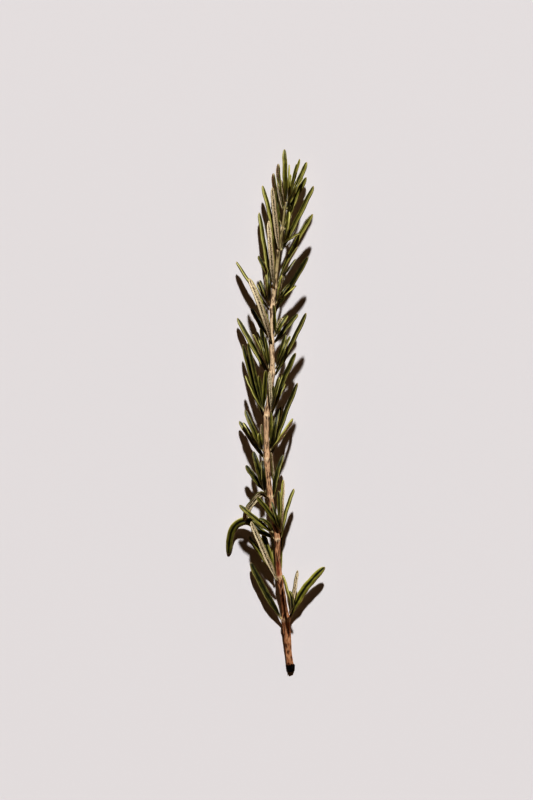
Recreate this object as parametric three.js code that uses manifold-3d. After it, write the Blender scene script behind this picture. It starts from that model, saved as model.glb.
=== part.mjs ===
// A cut sprig of rosemary lying on a table: one woody stem and its needle leaves.
//
// Millimetres. +Y runs from the cut end to the growing tip, +Z is up and the table is z = 0.
// The origin is under the middle of the sprig's box, on the table.
//
// The stem carries a whorl of leaves every 10 mm or so. At each whorl a pair of full-grown
// leaves stands on the stem, and a short side shoot with a few small leaves sits in the angle
// of each. A full-grown leaf is one mesh, and so is a side shoot, whose leaves grew joined.
import * as THREE from 'three';
import { mergeVertices } from 'three/addons/utils/BufferGeometryUtils.js';
import Module from 'manifold-3d';

// ---------------------------------------------------------------- driving dimensions

const STEM_SIDES = 10;
const STEM_STEP = 1.6; // length of one facet of the stem
const WHORL_SWELL = 0.28; // how much the stem thickens at a whorl, as a share of its radius
const WHORL_SWELL_REACH = 1.1;

const LEAF_SIDES = 6;
const LEAF_THICKNESS = 0.42; // thickness of a leaf as a share of its width
const WIDEST_EDGE_ON = 2.2; // the most that a leaf seen by its edge is taken to be wide
const LEAF_ARCH = 0.5; // how far the middle of a leaf stands above the line from base to tip
const UNDER_SAG = -1.3; // the same for a leaf under the stem, which lies along the table
const MARGIN_DROP = 0.3; // how far a leaf's margins roll under, as a share of its thickness
const PETIOLE_GAP = 0.12; // a leaf starts this far off the bark, because meshes may not overlap
const CLEARANCE = 0.16; // air kept round a leaf when it is settled among its neighbours
const TABLE_CLEARANCE = 0.05;

const BUD_GIRTH = 0.5; // radius of a side shoot's bud, as a share of the stem's
const BUD_LENGTH = 1.4;
const BUD_RISE = 1.3; // a side shoot sits this far above its whorl
const BUD_LEAN = 31; // degrees it leans away from the stem
const BUD_STAND_OFF = 0.8; // how far its foot stands off the bark, as a share of its radius
const BUD_LEAF_START = 0.45; // where its leaves start, as a share of its length
const HIGHEST_BUD = 141.2; // the growing tip is as far up the stem as a bud can sit

// The centre line of the stem, from the cut end to the growing tip: x, y, z.
const STEM_ROUTE = [
  [5.9, 0, 1.15],
  [5.2, 6.6, 1.7],
  [4.4, 16.2, 2.6],
  [3.6, 22.5, 3.2],
  [2.6, 28.2, 3.8],
  [2.0, 34.5, 4.4],
  [1.9, 40.5, 4.9],
  [0.9, 46, 5.1],
  [-0.15, 52.5, 5.1],
  [-0.9, 58.5, 4.9],
  [-1.2, 64.6, 4.7],
  [-1.35, 70.5, 4.6],
  [-1.3, 76.2, 4.6],
  [-0.5, 82.5, 4.6],
  [0.3, 89.1, 4.6],
  [0.35, 94, 4.6],
  [0.1, 98.7, 4.5],
  [0.2, 103.5, 4.5],
  [0.45, 108.3, 4.4],
  [0.95, 114.9, 4.3],
  [1.7, 120.5, 4.2],
  [2.4, 126.3, 4.1],
  [3.3, 132.3, 4.0],
  [4.1, 138.3, 4.0],
  [4.6, 142, 4.0],
];

// Radius of the stem between whorls: distance from the cut end, radius.
const STEM_GIRTH = [
  [0, 1.02],
  [6, 0.96],
  [12, 1.12],
  [16, 1.1],
  [19, 0.86],
  [30, 0.8],
  [60, 0.8],
  [110, 0.66],
  [128, 0.5],
  [142, 0.22],
];

// Half-width of a leaf along its length, both as shares: a short stalk, a long even blade and
// a blunt tip.
const LEAF_OUTLINE = [
  [0, 0],
  [0.025, 0.34],
  [0.1, 0.6],
  [0.28, 0.93],
  [0.55, 1],
  [0.8, 0.88],
  [0.94, 0.56],
  [1, 0],
];

// ---------------------------------------------------------------- the leaves
//
// tip: mm from the whorl's centre to the leaf's tip, across (+ right) and along the sprig, then
//      the tip's height above the table
// width: of the blade, seen from above
// bow: how far the middle of the leaf bulges to its left, seen from above, base to tip
// roll: 0 shows the dark upper face to the sky, 90 an edge, 180 the pale underside
// twist: how much further it has rolled at its tip
// arch: how far its middle stands above the line from base to tip, where that isn't LEAF_ARCH
// route: where a leaf that bends sharply passes, measured as its tip is
//
// overShoot: the leaves of this whorl stand above their side shoots, not below

const MATURE = 'mature';
const YOUNG = 'young';

const WHORLS = [
  {
    y: 16.2,
    leaves: {
      right: { tip: [11.7, 15.6, 4.2], width: 2.45, bow: 1.3, roll: 15 },
      left: { tip: [-10.5, 16.8, 2.2], width: 2.0, bow: 0.3, roll: 28 },
    },
    shoots: {
      right: [
        { tip: [3.45, 14.7, 5.0], width: 1.25, bow: 0, roll: 150 },
        { tip: [0.75, 8.9, 8.0], width: 1.3, bow: -0.7, roll: 60 },
        { tip: [-0.9, 13.4, 7.2], width: 1.1, bow: -0.6, roll: 100 },
      ],
    },
  },
  {
    y: 28.2,
    overShoot: true,
    leaves: {
      left: { tip: [-8.6, 17.4, 8.0], width: 2.0, bow: 0, roll: 172 },
      under: { tip: [0.6, 14.0, 0.5], width: 1.7, bow: 0.3, arch: UNDER_SAG, roll: 0 },
    },
    shoots: {
      left: [
        { tip: [-5.0, 13.2, 3.0], width: 2.2, bow: 0, roll: 10 },
        { tip: [-2.2, 15.3, 6.2], width: 1.25, bow: 0, roll: 60 },
        { tip: [-9.2, 12.6, 3.0], width: 1.25, bow: 0, roll: 50 },
      ],
    },
  },
  {
    y: 40.5,
    leaves: {
      right: { tip: [4.9, 14.7, 5.6], width: 1.3, bow: 0.6, roll: 75 },
      left: {
        route: [
          [-4.6, 1.8, 4.6],
          [-7.9, 4.65, 3.7],
          [-10.9, 4.65, 3.0],
          [-13.0, 3.0, 2.3],
          [-14.2, -0.8, 1.5],
        ],
        tip: [-14.7, -5.4, 0.5],
        width: 2.5,
        roll: 5,
      },
      under: { tip: [-2.9, 15.5, 0.5], width: 1.7, bow: 0.2, arch: UNDER_SAG, roll: 0 },
    },
    shoots: {
      right: [
        { tip: [1.65, 17.4, 7.0], width: 1.5, bow: 0.2, roll: 110 },
        { tip: [0.3, 14.1, 7.6], width: 1.6, bow: 0, roll: 20 },
        { tip: [-6.2, 12.5, 9.6], width: 1.5, bow: -0.45, roll: 30 },
        { tip: [-1.75, 11.0, 7.4], width: 0.95, bow: 0, roll: 30 },
      ],
      left: [
        { tip: [-11.3, 10.0, 8.3], width: 1.5, bow: 0, roll: 40 },
        { tip: [-5.5, 6.0, 8.2], width: 1.1, bow: -1.0, roll: 40 },
      ],
    },
  },
  {
    y: 52.5,
    overShoot: true,
    leaves: {
      left: {
        route: [
          [-2.6, 1.3, 7.2],
          [-4.8, -0.6, 7.3],
          [-6.7, -3.4, 6.6],
        ],
        tip: [-7.9, -6.8, 5.4],
        width: 1.9,
        roll: 145,
        twist: 25,
      },
      right: { tip: [3.75, 12.75, 5.0], width: 1.5, bow: 0.65, roll: 35 },
    },
    shoots: {
      left: [
        { tip: [-7.35, 9.6, 5.0], width: 1.6, bow: 0, roll: 30 },
        { tip: [-5.1, 13.8, 6.0], width: 1.75, bow: 0, roll: 15 },
        { tip: [-2.4, 11.1, 7.0], width: 1.5, bow: 0, roll: 20 },
      ],
      right: [
        { tip: [0.1, 13.5, 7.8], width: 1.1, bow: 0, roll: 120 },
        { tip: [3.6, 10.8, 3.4], width: 1.2, bow: 0.4, roll: 70 },
      ],
    },
  },
  {
    y: 64.6,
    leaves: {
      left: { tip: [-8.25, 10.65, 2.2], width: 1.5, bow: 0, roll: 40 },
      right: { tip: [9.0, 22.0, 9.0], width: 1.6, bow: 0.4, roll: 60 },
      under: { tip: [4.2, 15.0, 0.5], width: 1.7, bow: -0.2, arch: UNDER_SAG, roll: 0 },
    },
    shoots: {
      left: [
        { tip: [-7.05, 10.2, 4.2], width: 1.1, bow: 0, roll: 80 },
        { tip: [-6.45, 13.95, 5.6], width: 1.6, bow: 0, roll: 30 },
        { tip: [-2.3, 7.2, 6.4], width: 1.5, bow: 0.2, roll: 20 },
        { tip: [-1.6, 9.75, 6.6], width: 0.85, bow: 0, roll: 120 },
      ],
      right: [
        { tip: [1.2, 13.35, 6.6], width: 0.95, bow: 0, roll: 30 },
        { tip: [3.45, 14.4, 5.2], width: 1.6, bow: 0.2, roll: 15 },
        { tip: [3.0, 8.85, 7.0], width: 0.85, bow: 0.2, roll: 150 },
        { tip: [7.65, 11.25, 3.6], width: 1.1, bow: 0, roll: 110 },
        { tip: [5.85, 7.35, 2.4], width: 1.1, bow: 0, roll: 80 },
      ],
    },
  },
  {
    y: 76.2,
    leaves: {
      left: { tip: [-7.1, 22.0, 3.8], width: 1.5, bow: 0.2, roll: 20 },
      right: { tip: [8.6, 19.35, 6.5], width: 1.7, bow: 0.5, roll: 35 },
    },
    shoots: {
      left: [
        { tip: [-5.6, 22.2, 6.4], width: 1.3, bow: 0, roll: 15 },
        { tip: [-6.3, 12.6, 4.0], width: 0.95, bow: 0.1, roll: 70 },
        { tip: [-2.3, 12.6, 5.8], width: 1.2, bow: 0, roll: 30 },
        { tip: [-0.2, 14.1, 7.8], width: 1.5, bow: 0, roll: 15 },
      ],
      right: [
        { tip: [0.8, 13.8, 8.4], width: 1.25, bow: 0, roll: 170 },
        { tip: [2.0, 9.6, 6.2], width: 0.85, bow: 0, roll: 30 },
        { tip: [3.6, 12.15, 5.4], width: 1.2, bow: 0.2, roll: 60 },
        { tip: [4.5, 12.8, 7.0], width: 1.2, bow: 0.2, roll: 50 },
        { tip: [5.4, 10.2, 4.0], width: 1.1, bow: 0.2, roll: 40 },
      ],
    },
  },
  {
    y: 89.1,
    leaves: {
      left: { tip: [-10.35, 16.95, 2.3], width: 1.5, bow: 0, roll: 50 },
      right: { tip: [10.05, 18.15, 9.6], width: 1.6, bow: -0.1, roll: 60 },
      under: { tip: [-3.4, 14.5, 0.5], width: 1.6, bow: 0.2, arch: UNDER_SAG, roll: 0 },
    },
    shoots: {
      left: [
        { tip: [-5.7, 12.0, 5.2], width: 0.95, bow: 0, roll: 120 },
        { tip: [-4.35, 12.75, 2.4], width: 0.8, bow: 0, roll: 60 },
        { tip: [-3.5, 10.6, 3.6], width: 0.9, bow: 0, roll: 20 },
        { tip: [-2.25, 11.25, 6.6], width: 0.95, bow: -0.35, roll: 15 },
      ],
      right: [
        { tip: [4.05, 11.85, 6.0], width: 1.2, bow: 0.2, roll: 50 },
        { tip: [5.4, 11.4, 4.2], width: 1.5, bow: 0.2, roll: 25 },
      ],
    },
  },
  {
    y: 98.7,
    leaves: {
      top: { tip: [-6.6, 18.9, 7.6], width: 2.0, bow: -0.5, roll: 165 },
      right: { tip: [7.8, 8.4, 6.0], width: 1.4, bow: 0.1, roll: 55 },
    },
    shoots: {
      left: [
        { tip: [-6.0, 10.2, 2.8], width: 1.5, bow: 0, roll: 25 },
        { tip: [-1.35, 8.4, 5.6], width: 1.1, bow: 0, roll: 110 },
      ],
      right: [
        { tip: [0.75, 10.95, 7.2], width: 0.95, bow: 0, roll: 30 },
        { tip: [3.3, 7.2, 5.6], width: 1.35, bow: 0.5, roll: 160 },
        { tip: [4.8, 8.0, 5.0], width: 1.2, bow: 0.2, roll: 40 },
      ],
    },
  },
  {
    y: 108.3,
    leaves: {
      left: { tip: [-10.8, 14.55, 2.8], width: 1.4, bow: 0.2, roll: 80 },
      right: { tip: [10.5, 15.6, 8.5], width: 1.6, bow: 0, roll: 40 },
      under: { tip: [3.6, 13.5, 0.5], width: 1.5, bow: -0.2, arch: UNDER_SAG, roll: 0 },
    },
    shoots: {
      left: [
        { tip: [-4.35, 7.8, 3.6], width: 0.95, bow: 0, roll: 60 },
        { tip: [-3.75, 8.85, 4.8], width: 1.05, bow: 0, roll: 30 },
        { tip: [-2.0, 10.3, 6.2], width: 0.95, bow: 0, roll: 100 },
        { tip: [-1.2, 11.4, 5.2], width: 1.05, bow: 0, roll: 20 },
      ],
      right: [
        { tip: [2.8, 10.35, 7.0], width: 0.95, bow: 0.1, roll: 110 },
        { tip: [5.1, 7.65, 4.6], width: 1.4, bow: 0.3, roll: 15 },
        { tip: [6.9, 7.2, 3.0], width: 1.1, bow: 0, roll: 80 },
      ],
    },
  },
  {
    y: 114.9,
    leaves: {
      top: { tip: [-1.6, 19.65, 8.0], width: 1.8, bow: 0, roll: 155 },
      left: { tip: [-4.45, 22.65, 2.6], width: 1.4, bow: 0, roll: 60 },
      right: { tip: [11.45, 21.75, 7.0], width: 1.75, bow: 0.9, roll: 55 },
    },
    shoots: {
      left: [
        { tip: [-4.75, 9.45, 4.6], width: 1.25, bow: 0, roll: 30 },
        { tip: [-2.9, 7.6, 5.6], width: 1.1, bow: 0, roll: 100 },
      ],
      right: [
        { tip: [6.4, 8.55, 5.2], width: 1.0, bow: 0, roll: 55 },
        { tip: [6.95, 12.15, 3.8], width: 1.1, bow: 0.2, roll: 120 },
      ],
    },
  },
  {
    y: 126.3,
    leaves: {
      top: { tip: [-1.95, 18.15, 7.8], width: 1.8, bow: 0, roll: 150 },
      left: { tip: [-4.95, 19.2, 3.6], width: 1.3, bow: -0.4, roll: 60 },
      right: { tip: [10.2, 18.75, 6.2], width: 1.55, bow: 0, roll: 55 },
      under: { tip: [-1.2, 13.0, 0.5], width: 1.4, bow: 0, arch: UNDER_SAG, roll: 0 },
    },
    shoots: {
      right: [
        { tip: [2.85, 4.5, 6.0], width: 0.8, bow: 0, roll: 120 },
        { tip: [6.0, 4.65, 4.0], width: 0.8, bow: 0, roll: 50 },
        { tip: [2.9, 11.0, 6.4], width: 1.0, bow: -0.3, roll: 70 },
      ],
    },
  },
  {
    y: 132.3,
    leaves: {
      left: { tip: [-2.6, 16.5, 6.4], width: 1.3, bow: 0, roll: 118 },
      right: { tip: [7.2, 15.45, 5.0], width: 1.6, bow: 0.7, roll: 45 },
    },
    shoots: {
      left: [
        { tip: [-1.7, 8.4, 3.2], width: 0.8, bow: 0, roll: 30 },
        { tip: [-3.2, 6.8, 2.4], width: 0.8, bow: 0, roll: 60 },
      ],
      right: [
        { tip: [2.8, 4.2, 5.4], width: 0.75, bow: 0, roll: 130 },
        { tip: [2.3, 7.05, 6.6], width: 0.75, bow: 0, roll: 40 },
      ],
    },
  },
  {
    y: 138.3,
    leaves: {
      left: { tip: [-1.9, 13.35, 6.0], width: 1.3, bow: 0.3, roll: 122 },
      right: { tip: [6.5, 13.95, 5.4], width: 1.5, bow: 0.1, roll: 50 },
    },
    shoots: {
      left: [
        { tip: [-2.4, 9.4, 2.6], width: 0.8, bow: 0, roll: 40 },
        { tip: [-0.9, 8.6, 3.2], width: 0.75, bow: 0, roll: 140 },
      ],
      right: [
        { tip: [5.3, 9.3, 3.4], width: 0.85, bow: 0, roll: 30 },
        { tip: [3.6, 8.8, 2.4], width: 0.8, bow: 0.1, roll: 40 },
      ],
    },
  },
  {
    y: 141.0,
    age: YOUNG,
    leaves: {
      top: { tip: [-0.45, 14.9, 6.6], width: 1.55, bow: 0, roll: 30 },
      right: { tip: [4.05, 12.1, 4.6], width: 1.5, bow: 0, roll: 35 },
    },
    shoots: {
      right: [
        { tip: [0.9, 10.8, 4.2], width: 0.8, bow: 0, roll: 30 },
        { tip: [3.1, 10.4, 7.2], width: 1.15, bow: 0, roll: 20 },
        { tip: [1.35, 7.4, 7.6], width: 1.15, bow: 0, roll: 15 },
      ],
    },
  },
];

// Where things sit round the stem, in degrees: 0 is its right-hand side, 90 the side that faces
// up. Where a leaf and a shoot share a side, one sits low and the other high.
const LOW_SEATS = { right: -30, left: 210, top: 90, under: -90 };
const HIGH_SEATS = { right: 38, left: 142 };

const LEAF_COLOURS = { [MATURE]: 0x6f7c3a, [YOUNG]: 0x8f9a52 };
const STEM_COLOUR = 0xb58a63;

// ---------------------------------------------------------------- small helpers

const UP = new THREE.Vector3(0, 0, 1);
const vec = (point) => new THREE.Vector3(...point);
const degrees = THREE.MathUtils.degToRad;

// Reads a value off a table of [where, value] pairs, in a straight line between two entries.
function readOff(table, where) {
  const next = table.findIndex(([at]) => at >= where);
  if (next === -1) return table[table.length - 1][1];
  if (next === 0) return table[0][1];
  const [[fromAt, fromValue], [toAt, toValue]] = [table[next - 1], table[next]];
  return THREE.MathUtils.mapLinear(where, fromAt, toAt, fromValue, toValue);
}

// Closes a row of rings, each with the same number of points, into one body with a point at
// either end.
function loft(startPoint, rings, endPoint) {
  const sides = rings[0].length;
  const points = [startPoint, ...rings.flat(), endPoint];
  const at = (ring, side) => 1 + ring * sides + (side % sides);
  const last = points.length - 1;
  const triangles = [];
  for (let side = 0; side < sides; side++) {
    triangles.push(0, at(0, side), at(0, side + 1));
    triangles.push(last, at(rings.length - 1, side + 1), at(rings.length - 1, side));
    for (let ring = 0; ring < rings.length - 1; ring++) {
      const [a, b] = [at(ring, side), at(ring, side + 1)];
      const [c, d] = [at(ring + 1, side), at(ring + 1, side + 1)];
      triangles.push(a, d, b, a, c, d);
    }
  }
  const geometry = new THREE.BufferGeometry();
  geometry.setAttribute('position', new THREE.Float32BufferAttribute(points.flatMap((p) => p.toArray()), 3));
  geometry.setIndex(triangles);
  return geometry;
}

// ---------------------------------------------------------------- the stem

const stemCurve = new THREE.CatmullRomCurve3(STEM_ROUTE.map(vec), false, 'centripetal');

// The stem's centre, its girth and its own right-hand and upper sides at a distance y from the
// cut end.
const SEARCH_PASSES = 24;
function stemAt(y) {
  let [low, high] = [0, 1];
  for (let pass = 0; pass < SEARCH_PASSES; pass++) {
    const middle = (low + high) / 2;
    if (stemCurve.getPoint(middle).y < y) low = middle;
    else high = middle;
  }
  const along = stemCurve.getTangent(low);
  const right = along.clone().cross(UP).normalize();
  const upper = right.clone().cross(along);
  return { centre: stemCurve.getPoint(low), along, right, upper, radius: stemRadius(y) };
}

function stemRadius(y) {
  const swell = WHORLS.reduce((sum, whorl) => sum + Math.exp(-(((y - whorl.y) / WHORL_SWELL_REACH) ** 2)), 0);
  return readOff(STEM_GIRTH, y) * (1 + WHORL_SWELL * Math.min(swell, 1));
}

const stemLength = STEM_ROUTE.at(-1)[1];

function makeStem() {
  const count = Math.round(stemLength / STEM_STEP);
  const rings = [];
  for (let ring = 0; ring < count; ring++) {
    const here = stemAt((stemLength * ring) / count);
    rings.push(
      Array.from({ length: STEM_SIDES }, (_, side) => onBark(here, (360 * side) / STEM_SIDES, 0)),
    );
  }
  return loft(vec(STEM_ROUTE[0]), rings, vec(STEM_ROUTE.at(-1)));
}

// A point at some angle round the stem, some distance off its bark.
function onBark(here, angle, off) {
  const reach = here.radius + off;
  return here.centre
    .clone()
    .addScaledVector(here.right, reach * Math.cos(degrees(angle)))
    .addScaledVector(here.upper, reach * Math.sin(degrees(angle)));
}

// ---------------------------------------------------------------- one leaf

// The centre line of a leaf from its base to its tip.
function leafRoute(base, leaf, whorlCentre, lift) {
  const tip = new THREE.Vector3(whorlCentre.x + leaf.tip[0], whorlCentre.y + leaf.tip[1], leaf.tip[2] + lift.tip);
  if (leaf.route) {
    const between = leaf.route.map(([x, y, z]) => new THREE.Vector3(whorlCentre.x + x, whorlCentre.y + y, z));
    return new THREE.CatmullRomCurve3([base, ...between, tip], false, 'centripetal');
  }
  const along = tip.clone().sub(base);
  const aside = new THREE.Vector3(-along.y, along.x, 0).normalize();
  const points = [0, 0.2, 0.4, 0.6, 0.8, 1].map((share) => {
    const bulge = 4 * share * (1 - share);
    return base
      .clone()
      .addScaledVector(along, share)
      .addScaledVector(aside, leaf.bow * bulge)
      .addScaledVector(UP, ((leaf.arch ?? LEAF_ARCH) + lift.middle) * bulge);
  });
  return new THREE.CatmullRomCurve3(points);
}

// A leaf that shows its edge looks narrower than it is.
function bladeWidth(leaf) {
  const roll = degrees(leaf.roll);
  const unrolled = leaf.width / Math.hypot(Math.cos(roll), LEAF_THICKNESS * Math.sin(roll));
  return Math.max(leaf.width, Math.min(WIDEST_EDGE_ON, unrolled));
}

// The places along a leaf where its outline turns, and twice as many in a leaf that bends.
function stationShares(leaf) {
  const shares = LEAF_OUTLINE.map(([share]) => share);
  if (!leaf.route) return shares;
  return shares.flatMap((share, i) => (i === 0 ? [share] : [(shares[i - 1] + share) / 2, share]));
}

// Where the leaf is, which way its upper face looks and how wide and thick it is, station by
// station along its length.
function leafStations(route, leaf, side, slim) {
  const width = bladeWidth(leaf) * slim;
  return stationShares(leaf).map((share) => {
    const fullness = readOff(LEAF_OUTLINE, share);
    const centre = route.getPointAt(share);
    const along = route.getTangentAt(share);
    const level = along.clone().cross(UP).normalize();
    const raised = level.clone().cross(along);
    const roll = degrees(leaf.roll + (leaf.twist ?? 0) * share) * side;
    const face = raised.clone().multiplyScalar(Math.cos(roll)).addScaledVector(level, Math.sin(roll));
    const across = along.clone().cross(face).normalize();
    return {
      share,
      centre,
      across: across.multiplyScalar((width / 2) * fullness),
      face: face.multiplyScalar((width / 2) * LEAF_THICKNESS * Math.sqrt(fullness)),
    };
  });
}

function leafRing(station) {
  return Array.from({ length: LEAF_SIDES }, (_, corner) => {
    const angle = (2 * Math.PI * corner) / LEAF_SIDES;
    return station.centre
      .clone()
      .addScaledVector(station.across, Math.cos(angle))
      .addScaledVector(station.face, Math.sin(angle) - MARGIN_DROP * Math.cos(angle) ** 2);
  });
}

// Lifts a ring that would dip into the table until it rests on it.
function restOnTable(ring) {
  const lowest = Math.min(...ring.map((point) => point.z));
  const raise = Math.max(0, TABLE_CLEARANCE - lowest);
  return ring.map((point) => point.clone().addScaledVector(UP, raise));
}

const middleOf = (ring) => ring.reduce((sum, point) => sum.add(point), new THREE.Vector3()).divideScalar(ring.length);

// The points at the two ends of a leaf move with the rings beside them.
function makeLeaf(stations) {
  const rings = stations.slice(1, -1).map((station) => restOnTable(leafRing(station)));
  const endPoint = (end, beside, ring) => middleOf(ring).sub(beside.centre).add(end.centre);
  const base = endPoint(stations.at(0), stations.at(1), rings.at(0));
  const tip = endPoint(stations.at(-1), stations.at(-2), rings.at(-1));
  return loft(base, rings, tip);
}

// ---------------------------------------------------------------- settling the leaves
//
// The leaves of neighbouring whorls pass over and under each other. Each one is tried at a few
// heights, nearest to its own first, until it has air all round it, and then a little slimmer.

const PROBES_ALONG = 22;
const PROBES_ACROSS = [-0.8, 0, 0.8];
const STEM_PROBES = 180;
const NEIGHBOURHOOD = 3; // probes further apart than this along the sprig can't touch
const STALK = 0.14; // up to here, as a share of its length, a leaf may be close to the stem
const FORK = 0.35; // up to here it may be close to the other leaves of its shoot

const SLIMMING = [1, 0.86, 0.74, 0.62];
const TIP_LIFTS = [0, 0.4, -0.4, 0.8, -0.8, 1.3, -1.3, 1.9, -1.9];
const MIDDLE_LIFTS = [...TIP_LIFTS, 2.6, -2.6, 3.4, 4.2];
const effort = (lift) => Math.abs(lift.middle) + 1.5 * Math.abs(lift.tip);
const ALL_LIFTS = MIDDLE_LIFTS.flatMap((middle) => TIP_LIFTS.map((tip) => ({ middle, tip }))).sort(
  (a, b) => effort(a) - effort(b),
);
const NO_LIFT = [{ middle: 0, tip: 0 }];

// Round probes that fill a leaf, from just past its stalk to its tip.
function probesOf(stations) {
  const probes = [];
  for (let step = 1; step <= PROBES_ALONG; step++) {
    const share = step / PROBES_ALONG;
    const next = stations.findIndex((station) => station.share >= share - 1e-9);
    const [from, to] = [stations[next - 1], stations[next]];
    const mix = (share - from.share) / (to.share - from.share);
    const centre = from.centre.clone().lerp(to.centre, mix);
    const across = from.across.clone().lerp(to.across, mix);
    const half = THREE.MathUtils.lerp(from.face.length(), to.face.length(), mix);
    centre.z = Math.max(centre.z, half + TABLE_CLEARANCE);
    for (const place of PROBES_ACROSS) {
      probes.push({ point: centre.clone().addScaledVector(across, place), half, share });
    }
  }
  return probes;
}

const stemProbes = Array.from({ length: STEM_PROBES }, (_, i) => {
  const here = stemAt((i / STEM_PROBES) * stemLength);
  return { point: here.centre, half: here.radius };
});

// The smallest gap between two sets of probes.
function gapBetween(probes, others) {
  let gap = Infinity;
  for (const a of probes) {
    for (const b of others) {
      if (Math.abs(a.point.y - b.point.y) > NEIGHBOURHOOD) continue;
      gap = Math.min(gap, a.point.distanceTo(b.point) - a.half - b.half);
    }
  }
  return gap;
}

// Settles one leaf: its stations at the height that leaves it the air it needs, or the most.
function settle(leaf, base, whorlCentre, settled) {
  const side = leaf.tip[0] < 0 ? 1 : -1;
  const away = settled.filter((one) => one.mesh !== leaf.mesh).flatMap((one) => one.probes);
  const sisters = settled.filter((one) => one.mesh === leaf.mesh).flatMap((one) => one.probes);
  const outerSisters = sisters.filter((probe) => probe.share > FORK);
  const lifts = leaf.route ? NO_LIFT : ALL_LIFTS;
  let best = { gap: -Infinity };
  for (const { lift, slim } of SLIMMING.flatMap((slim) => lifts.map((lift) => ({ lift, slim })))) {
    const stations = leafStations(leafRoute(base, leaf, whorlCentre, lift), leaf, side, slim);
    const probes = probesOf(stations);
    const free = probes.filter((probe) => probe.share > STALK);
    const blade = probes.filter((probe) => probe.share > FORK);
    const gap = Math.min(
      gapBetween(probes, away),
      gapBetween(free, stemProbes),
      gapBetween(blade, outerSisters),
    );
    if (gap > best.gap) best = { gap, stations, probes };
    if (gap >= CLEARANCE) break;
  }
  settled.push({ mesh: leaf.mesh, probes: best.probes });
  return best.stations;
}

// ---------------------------------------------------------------- a side shoot

const wasm = await Module();
wasm.setup();

function toSolid(geometry) {
  const bare = geometry.clone();
  bare.deleteAttribute('normal');
  bare.deleteAttribute('uv');
  const merged = mergeVertices(bare);
  return new wasm.Manifold(
    new wasm.Mesh({
      numProp: 3,
      vertProperties: new Float32Array(merged.attributes.position.array),
      triVerts: new Uint32Array(merged.index.array),
    }),
  );
}

function fromSolid(solid) {
  const mesh = solid.getMesh();
  const geometry = new THREE.BufferGeometry();
  geometry.setAttribute('position', new THREE.BufferAttribute(new Float32Array(mesh.vertProperties), 3));
  geometry.setIndex(new THREE.BufferAttribute(new Uint32Array(mesh.triVerts), 1));
  return geometry;
}

// The short woody bud that the leaves of a side shoot stand on.
function makeBud({ foot, heading, radius }) {
  const bud = new THREE.SphereGeometry(radius, 8, 6);
  bud.scale(1, BUD_LENGTH / 2 / radius, 1);
  bud.applyQuaternion(new THREE.Quaternion().setFromUnitVectors(new THREE.Vector3(0, 1, 0), heading));
  const middle = foot.clone().addScaledVector(heading, BUD_LENGTH / 2);
  return bud.translate(middle.x, middle.y, middle.z);
}

function budProbes({ foot, heading, radius }) {
  return [0.25, 0.5, 0.75].map((share) => ({
    point: foot.clone().addScaledVector(heading, BUD_LENGTH * share),
    half: radius * 0.85,
    share: 0,
  }));
}

// ---------------------------------------------------------------- assembly

const sprig = new THREE.Group();
const materials = {
  stem: () => new THREE.MeshStandardMaterial({ color: STEM_COLOUR, roughness: 0.8, metalness: 0 }),
  leaf: (age) => new THREE.MeshStandardMaterial({ color: LEAF_COLOURS[age], roughness: 0.6, metalness: 0 }),
};

function add(name, geometry, material) {
  geometry.computeVertexNormals();
  const mesh = new THREE.Mesh(geometry, material);
  mesh.name = name;
  sprig.add(mesh);
}

const settled = [];
const wholeLeaves = [];
const shootLeaves = [];
WHORLS.forEach((whorl, index) => {
  const number = String(index + 1).padStart(2, '0');
  const age = whorl.age ?? MATURE;
  const here = stemAt(whorl.y);
  const [leafSeats, shootSeats] = whorl.overShoot ? [HIGH_SEATS, LOW_SEATS] : [LOW_SEATS, HIGH_SEATS];
  for (const [seat, leaf] of Object.entries(whorl.leaves)) {
    const base = onBark(here, leafSeats[seat] ?? LOW_SEATS[seat], PETIOLE_GAP);
    wholeLeaves.push({ ...leaf, mesh: `leaf_${number}_${seat}`, base, centre: here.centre, age });
  }
  for (const [seat, leaves] of Object.entries(whorl.shoots)) {
    const beside = stemAt(Math.min(whorl.y + BUD_RISE, HIGHEST_BUD));
    const outward = onBark(beside, shootSeats[seat], 1).sub(beside.centre).normalize();
    const lean = degrees(BUD_LEAN);
    const heading = beside.along.clone().multiplyScalar(Math.cos(lean)).addScaledVector(outward, Math.sin(lean));
    const radius = beside.radius * BUD_GIRTH;
    const foot = onBark(beside, shootSeats[seat], PETIOLE_GAP + radius * BUD_STAND_OFF);
    const mesh = `shoot_${number}_${seat}`;
    const bud = { foot, heading, radius, age };
    settled.push({ mesh, probes: budProbes(bud) });
    for (const leaf of leaves) {
      const base = foot.clone().addScaledVector(heading, BUD_LENGTH * BUD_LEAF_START);
      shootLeaves.push({ ...leaf, mesh, base, centre: here.centre, bud });
    }
  }
});

// The leaves that bend sharply can't be moved, so they are placed first.
wholeLeaves.sort((a, b) => Boolean(b.route) - Boolean(a.route));

add('stem', makeStem(), materials.stem());
for (const leaf of wholeLeaves) {
  add(leaf.mesh, makeLeaf(settle(leaf, leaf.base, leaf.centre, settled)), materials.leaf(leaf.age));
}

const shoots = new Map();
for (const leaf of shootLeaves) {
  const solid = toSolid(makeLeaf(settle(leaf, leaf.base, leaf.centre, settled)));
  const grown = shoots.get(leaf.mesh) ?? { solid: toSolid(makeBud(leaf.bud)), age: leaf.bud.age };
  shoots.set(leaf.mesh, { ...grown, solid: grown.solid.add(solid) });
}
for (const [name, { solid, age }] of shoots) add(name, fromSolid(solid), materials.leaf(age));

// Stand the sprig on the table with the origin under the middle of its box.
const box = new THREE.Box3().setFromObject(sprig);
sprig.position.set(-(box.min.x + box.max.x) / 2, -(box.min.y + box.max.y) / 2, -box.min.z);
sprig.updateMatrixWorld(true);

export default sprig;
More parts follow.
